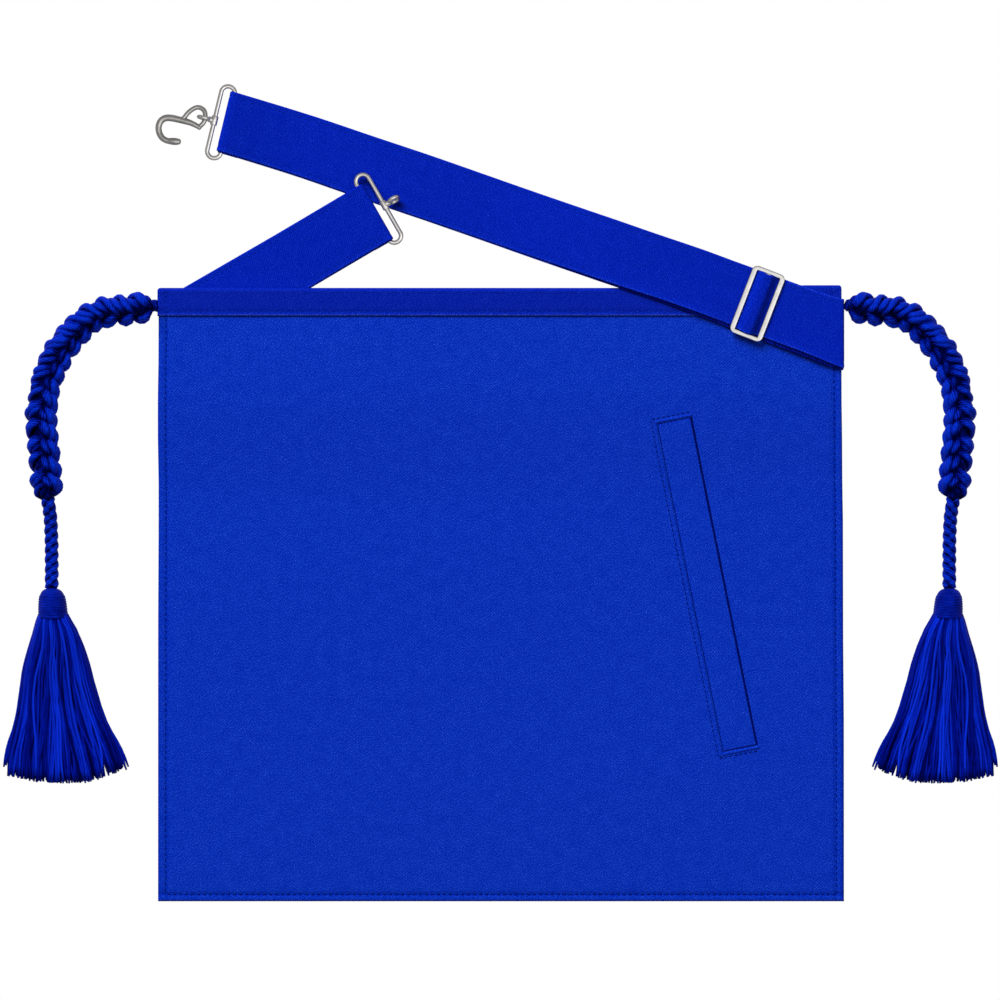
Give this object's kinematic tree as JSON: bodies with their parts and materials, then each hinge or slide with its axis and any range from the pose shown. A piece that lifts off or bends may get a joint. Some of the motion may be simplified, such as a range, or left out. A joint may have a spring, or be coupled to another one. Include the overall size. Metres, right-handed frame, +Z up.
{
  "type": "masonic apron",
  "caption": "Plain cloth ceremonial apron lying face down, with a two-part waist belt, hook and slide, a slanted back pocket and a plaited cord with a tassel at each side.",
  "frame": {"origin": "middle of the apron, its belt and its metal, on the surface that it lies on", "axes": "+X to the right and +Y up the apron, towards its belt, as its back is seen from above; +Z up from the surface"},
  "size_m": [0.5963, 0.4892, 0.0188],
  "materials": {
    "apron_cloth": "fine twill weave, satin",
    "belt_cloth": "fine twill weave, satin",
    "silk_thread": "twisted rayon thread, silky",
    "nickel": "satin nickel plate"
  },
  "bodies": {
    "root": {"apron_body": "apron_cloth", "pocket_welt": "apron_cloth", "top_band": "belt_cloth", "long_strap": "belt_cloth", "short_strap": "belt_cloth", "strap_slide": "nickel", "hook_loop": "nickel", "snake_hook": "nickel", "catch_loop": "nickel", "left_neck": "silk_thread", "left_plait": "silk_thread", "left_cord": "silk_thread", "left_tassel": "silk_thread", "right_neck": "silk_thread", "right_plait": "silk_thread", "right_cord": "silk_thread", "right_tassel": "silk_thread"}
  },
  "joints": []
}
